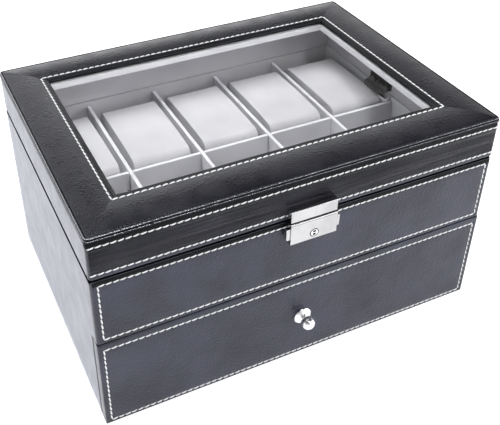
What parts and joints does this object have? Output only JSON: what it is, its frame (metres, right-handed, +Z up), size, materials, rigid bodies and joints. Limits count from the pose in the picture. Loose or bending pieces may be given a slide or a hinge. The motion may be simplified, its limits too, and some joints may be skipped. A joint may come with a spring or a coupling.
{
  "type": "watch box",
  "caption": "Two-tier watch box in stitched black leather with a glazed hinged lid, a front lock, a velvet tray of cushions and a cushioned drawer with a ball knob.",
  "frame": {"origin": "centre of the underside the box stands on", "axes": "+X to the right of the front, +Y to the back, +Z up; the drawer and the lock face -Y"},
  "size_m": [0.285, 0.2215, 0.157],
  "materials": {
    "black_leather": "satin, fine grain with white stitching",
    "fibre_board": "raw fibreboard under the leather",
    "underside_felt": "black felt paper on board",
    "velvet_lining": "grey velvet on board",
    "cushion_velvet": "light grey velvet over foam",
    "window_glass": "clear float glass",
    "bright_metal": "polished nickel plate",
    "spring_steel": "blued spring strip"
  },
  "bodies": {
    "base": {"base_leather_wrap": "black_leather", "stay_straps": "black_leather", "base_left_board": "fibre_board", "base_right_board": "fibre_board", "base_back_board": "fibre_board", "base_front_board": "fibre_board", "base_bottom_board": "underside_felt", "tray_deck": "velvet_lining", "tray_lining_left": "velvet_lining", "tray_lining_right": "velvet_lining", "tray_lining_back": "velvet_lining", "tray_lining_front": "velvet_lining", "tray_long_divider": "velvet_lining", "tray_cross_divider_1": "velvet_lining", "tray_cross_divider_2": "velvet_lining", "tray_cross_divider_3": "velvet_lining", "tray_cross_divider_4": "velvet_lining", "strap_pockets": "velvet_lining", "tray_cushions_rear": "cushion_velvet", "tray_cushions_front": "cushion_velvet", "lock_case": "bright_metal", "hinge_base_leaves": "bright_metal", "hinge_pins": "bright_metal", "lock_spring": "spring_steel"},
    "lid": {"lid_left_board": "fibre_board", "lid_right_board": "fibre_board", "lid_back_board": "fibre_board", "lid_front_board": "fibre_board", "lid_top_board": "fibre_board", "lid_top_cover": "black_leather", "lid_band_cover": "black_leather", "lid_glass": "window_glass", "lid_glass_retainer": "velvet_lining", "lid_side_linings": "velvet_lining", "lid_end_linings": "velvet_lining", "hinge_lid_leaves": "bright_metal", "lock_hasp": "bright_metal"},
    "drawer": {"drawer_front_cover": "black_leather", "drawer_front_board": "fibre_board", "drawer_right_side": "velvet_lining", "drawer_left_side": "velvet_lining", "drawer_back": "velvet_lining", "drawer_bottom": "velvet_lining", "drawer_long_divider": "velvet_lining", "drawer_cross_dividers": "velvet_lining", "drawer_cushions_rear": "cushion_velvet", "drawer_cushions_front": "cushion_velvet", "drawer_knob": "bright_metal"},
    "latch_left": {"latch_left": "bright_metal"},
    "latch_right": {"latch_right": "bright_metal"},
    "key_plug": {"key_plug": "bright_metal"}
  },
  "joints": [
    {"name": "lid_hinge", "type": "hinge", "parent": "base", "child": "lid", "pos_m": [0, 0.1045, 0.1262], "axis": [-1, 0, 0], "range_deg": [0, 95], "deforming": ["stay_straps"]},
    {"name": "drawer_slide", "type": "slide", "parent": "base", "child": "drawer", "axis": [0, -1, 0], "range_m": [0, 0.15]},
    {"name": "latch_left_press", "type": "slide", "parent": "base", "child": "latch_left", "axis": [1, 0, 0], "range_m": [0, 0.0024], "stiffness_N_per_m": 250, "springref_m": -0.002, "deforming": ["lock_spring"]},
    {"name": "latch_right_press", "type": "slide", "parent": "base", "child": "latch_right", "axis": [-1, 0, 0], "range_m": [0, 0.0024], "stiffness_N_per_m": 250, "springref_m": -0.002, "deforming": ["lock_spring"]},
    {"name": "key_turn", "type": "hinge", "parent": "base", "child": "key_plug", "pos_m": [0, -0.1085, 0.1153], "axis": [0, 1, 0], "range_deg": [0, 90]}
  ]
}
